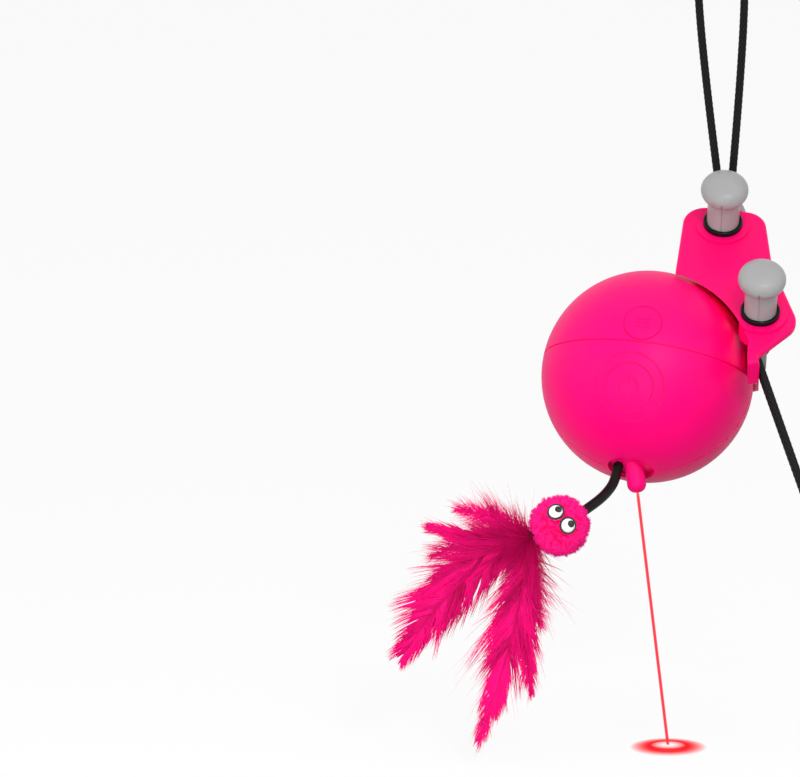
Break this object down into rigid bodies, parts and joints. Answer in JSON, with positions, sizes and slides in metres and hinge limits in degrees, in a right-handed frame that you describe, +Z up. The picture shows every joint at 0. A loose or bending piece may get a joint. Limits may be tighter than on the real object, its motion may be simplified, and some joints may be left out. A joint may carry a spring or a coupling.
{
  "type": "automatic cat laser toy",
  "caption": "Motor-driven ball that swings a laser nozzle and a feather lure, on a swivel bracket hung from an elastic strap with push cord locks.",
  "frame": {"origin": "inside of the crown of the upper strap loop, where a hook or door handle carries the toy", "axes": "+Z up as the toy hangs, +X to the right and -Y toward a person facing the power button"},
  "size_m": [0.1341, 0.1088, 0.2415],
  "materials": {
    "globe_pink": "satin moulded ABS",
    "bracket_pink": "satin moulded ABS",
    "knob_grey": "satin moulded ABS",
    "collar_black": "glossy black rubber",
    "inner_black": "moulded nylon",
    "guide_grey": "moulded nylon",
    "strap_black": "woven elastic cord",
    "steel": "bright",
    "spring_steel": "bright wire",
    "brass": "plain",
    "gear_white": "moulded acetal",
    "frame_white": "moulded ABS",
    "board_green": "solder mask",
    "cell_jacket": "plain printed sleeve",
    "lens_clear": "clear",
    "wand_black": "flexible black rubber",
    "pompom_pink": "fluffy yarn",
    "feather_magenta": "dyed feather",
    "eye_white": "glossy",
    "eye_black": "glossy"
  },
  "bodies": {
    "hanger": {"bracket": "bracket_pink", "collar_far": "collar_black", "collar_near": "collar_black", "lock_barrel_far": "inner_black", "lock_barrel_near": "inner_black", "lock_spring_far": "spring_steel", "lock_spring_near": "spring_steel", "cord_guide": "guide_grey", "cord_eyelet": "guide_grey", "strap_inner_run": "strap_black", "strap_upper_loop": "strap_black", "strap_lower_loop": "strap_black", "swivel_axle": "guide_grey", "swivel_retainer": "steel", "friction_washer": "inner_black"},
    "globe": {"rear_shell": "globe_pink", "lower_front_shell": "globe_pink", "battery_door": "globe_pink", "button_bezel": "globe_pink", "shell_screws": "steel", "battery_cradle": "inner_black", "battery_cell_1": "cell_jacket", "battery_cell_2": "cell_jacket", "battery_cell_3": "cell_jacket", "battery_springs": "spring_steel", "battery_contacts": "brass", "circuit_board": "board_green", "push_switch": "inner_black", "motor": "steel", "gear_plate_top": "frame_white", "gear_plate_low": "frame_white", "plate_posts": "frame_white", "gear_axles": "steel", "latch_spring": "spring_steel"},
    "turret": {"turret_gear": "gear_white", "turret_head": "globe_pink", "laser_nozzle": "globe_pink", "laser_module": "brass", "laser_lens": "lens_clear", "wand_plug": "wand_black"},
    "lure": {"wand": "wand_black", "pompom": "pompom_pink", "eye_left": "eye_white", "eye_right": "eye_white", "pupils": "eye_black", "feather_binding": "wand_black", "feather_long_left": "feather_magenta", "feather_long_down": "feather_magenta", "feather_short_down": "feather_magenta", "plume_left": "feather_magenta", "plume_up": "feather_magenta"},
    "power_button": {"power_button": "globe_pink"},
    "door_latch": {"door_latch": "globe_pink"},
    "motor_pinion": {"motor_pinion": "brass"},
    "compound_gear_a": {"compound_gear_a": "gear_white"},
    "compound_gear_b": {"compound_gear_b": "gear_white"},
    "knob_far": {"knob_far": "knob_grey"},
    "knob_near": {"knob_near": "knob_grey"}
  },
  "joints": [
    {"name": "swivel", "type": "hinge", "parent": "hanger", "child": "globe", "pos_m": [-0.0235, -0.0275, -0.132], "axis": [0.9586, 0.2497, 0.137], "range_deg": [-90, 90]},
    {"name": "turret_turn", "type": "hinge", "parent": "globe", "child": "turret", "pos_m": [-0.0235, -0.0275, -0.132], "axis": [0.1549, 0.6053, 0.7808], "range_deg": [-40, 40]},
    {"name": "gear_b_turn", "type": "hinge", "parent": "globe", "child": "compound_gear_b", "pos_m": [-0.01069, -0.02951, -0.13298], "axis": [0.1549, 0.6053, 0.7808], "range_deg": [-134, 134]},
    {"name": "gear_a_turn", "type": "hinge", "parent": "globe", "child": "compound_gear_a", "pos_m": [-0.01186, -0.01996, -0.14016], "axis": [0.1549, 0.6053, 0.7808], "range_deg": [-401, 401]},
    {"name": "motor_turn", "type": "hinge", "parent": "globe", "child": "motor_pinion", "pos_m": [-0.02335, -0.0165, -0.14055], "axis": [0.1549, 0.6053, 0.7808], "range_deg": [-1202, 1202]},
    {"name": "wand_flex", "type": "hinge", "parent": "turret", "child": "lure", "pos_m": [-0.0328, -0.0467, -0.1573], "axis": [0, -0.9798, 0.2], "range_deg": [-10, 10], "stiffness_Nm_per_rad": 0.12},
    {"name": "power_press", "type": "slide", "parent": "globe", "child": "power_button", "axis": [0.1749, 0.9803, -0.0915], "range_m": [0, 0.0008], "stiffness_N_per_m": 600},
    {"name": "latch_press", "type": "slide", "parent": "globe", "child": "door_latch", "axis": [0.0484, 0.7462, -0.664], "range_m": [0, 0.001], "stiffness_N_per_m": 500, "deforming": ["latch_spring"]},
    {"name": "knob_far_press", "type": "slide", "parent": "hanger", "child": "knob_far", "axis": [-0.03, 0.567, -0.8232], "range_m": [0, 0.0024], "stiffness_N_per_m": 700, "deforming": ["lock_spring_far"]},
    {"name": "knob_near_press", "type": "slide", "parent": "hanger", "child": "knob_near", "axis": [-0.03, 0.567, -0.8232], "range_m": [0, 0.0024], "stiffness_N_per_m": 700, "deforming": ["lock_spring_near"]}
  ],
  "couplings": [
    {"joint": "gear_b_turn", "follows": "turret_turn", "ratio": -3.3333},
    {"joint": "gear_a_turn", "follows": "turret_turn", "ratio": 10},
    {"joint": "motor_turn", "follows": "turret_turn", "ratio": -30}
  ]
}
